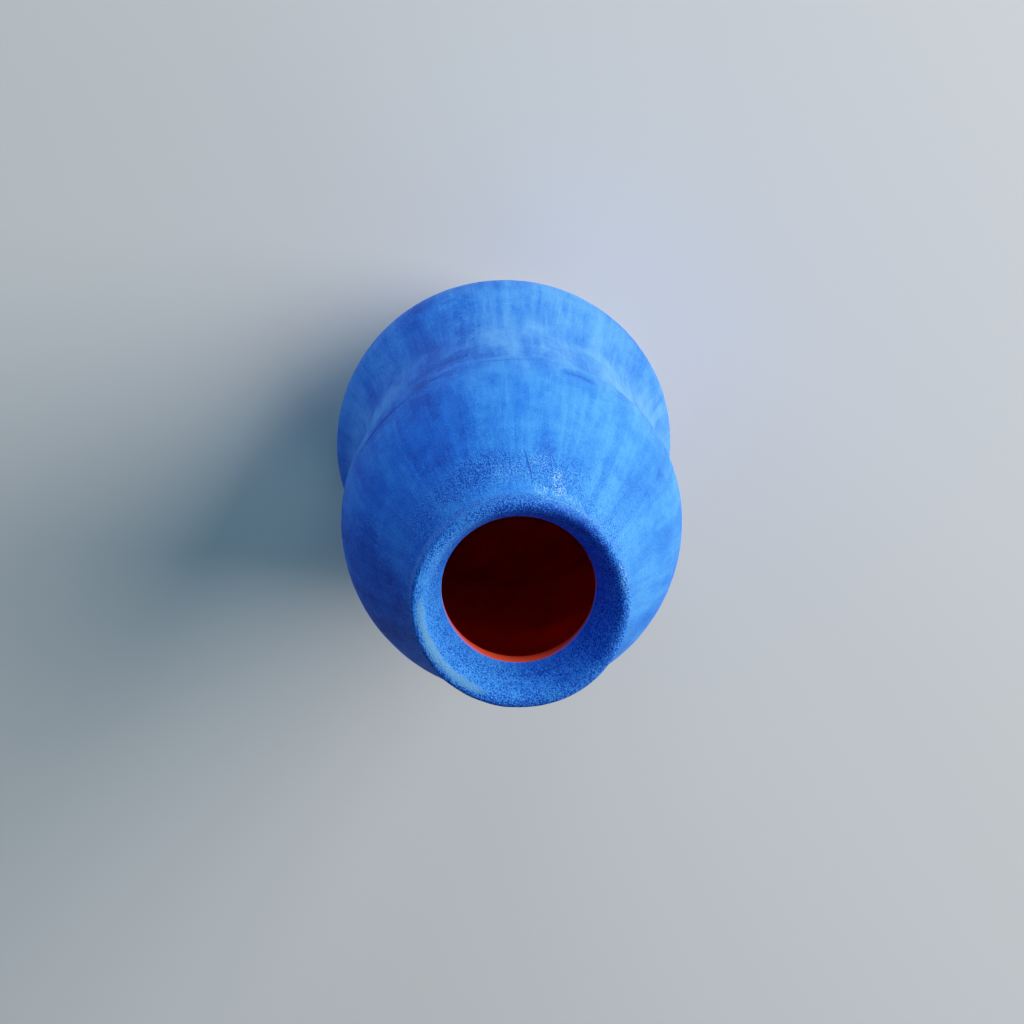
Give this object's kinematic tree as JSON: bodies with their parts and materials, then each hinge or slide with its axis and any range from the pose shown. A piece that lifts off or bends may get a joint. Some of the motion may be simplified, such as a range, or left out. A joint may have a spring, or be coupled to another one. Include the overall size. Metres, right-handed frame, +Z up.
{
  "type": "bud vase",
  "caption": "Small wheel-thrown ceramic bud vase with a flared lip, an overhanging upper belly, a slim waist and a rounded base on a low foot ring, matte outside and glossy inside.",
  "frame": {"origin": "centre of the foot ring's resting plane", "axes": "+Z up the vase's axis through the mouth; +X and +Y are any two directions round it, since it is a body of revolution"},
  "size_m": [0.069, 0.069, 0.1185],
  "materials": {
    "clay": "bare fired stoneware, matte and slightly gritty",
    "outer_glaze": "dry matte cobalt-blue glaze or slip, speckled and brushed along the vase",
    "inner_glaze": "glossy red liner glaze"
  },
  "bodies": {
    "root": {"clay_body": "clay", "outer_glaze": "outer_glaze", "inner_glaze": "inner_glaze"}
  },
  "joints": []
}
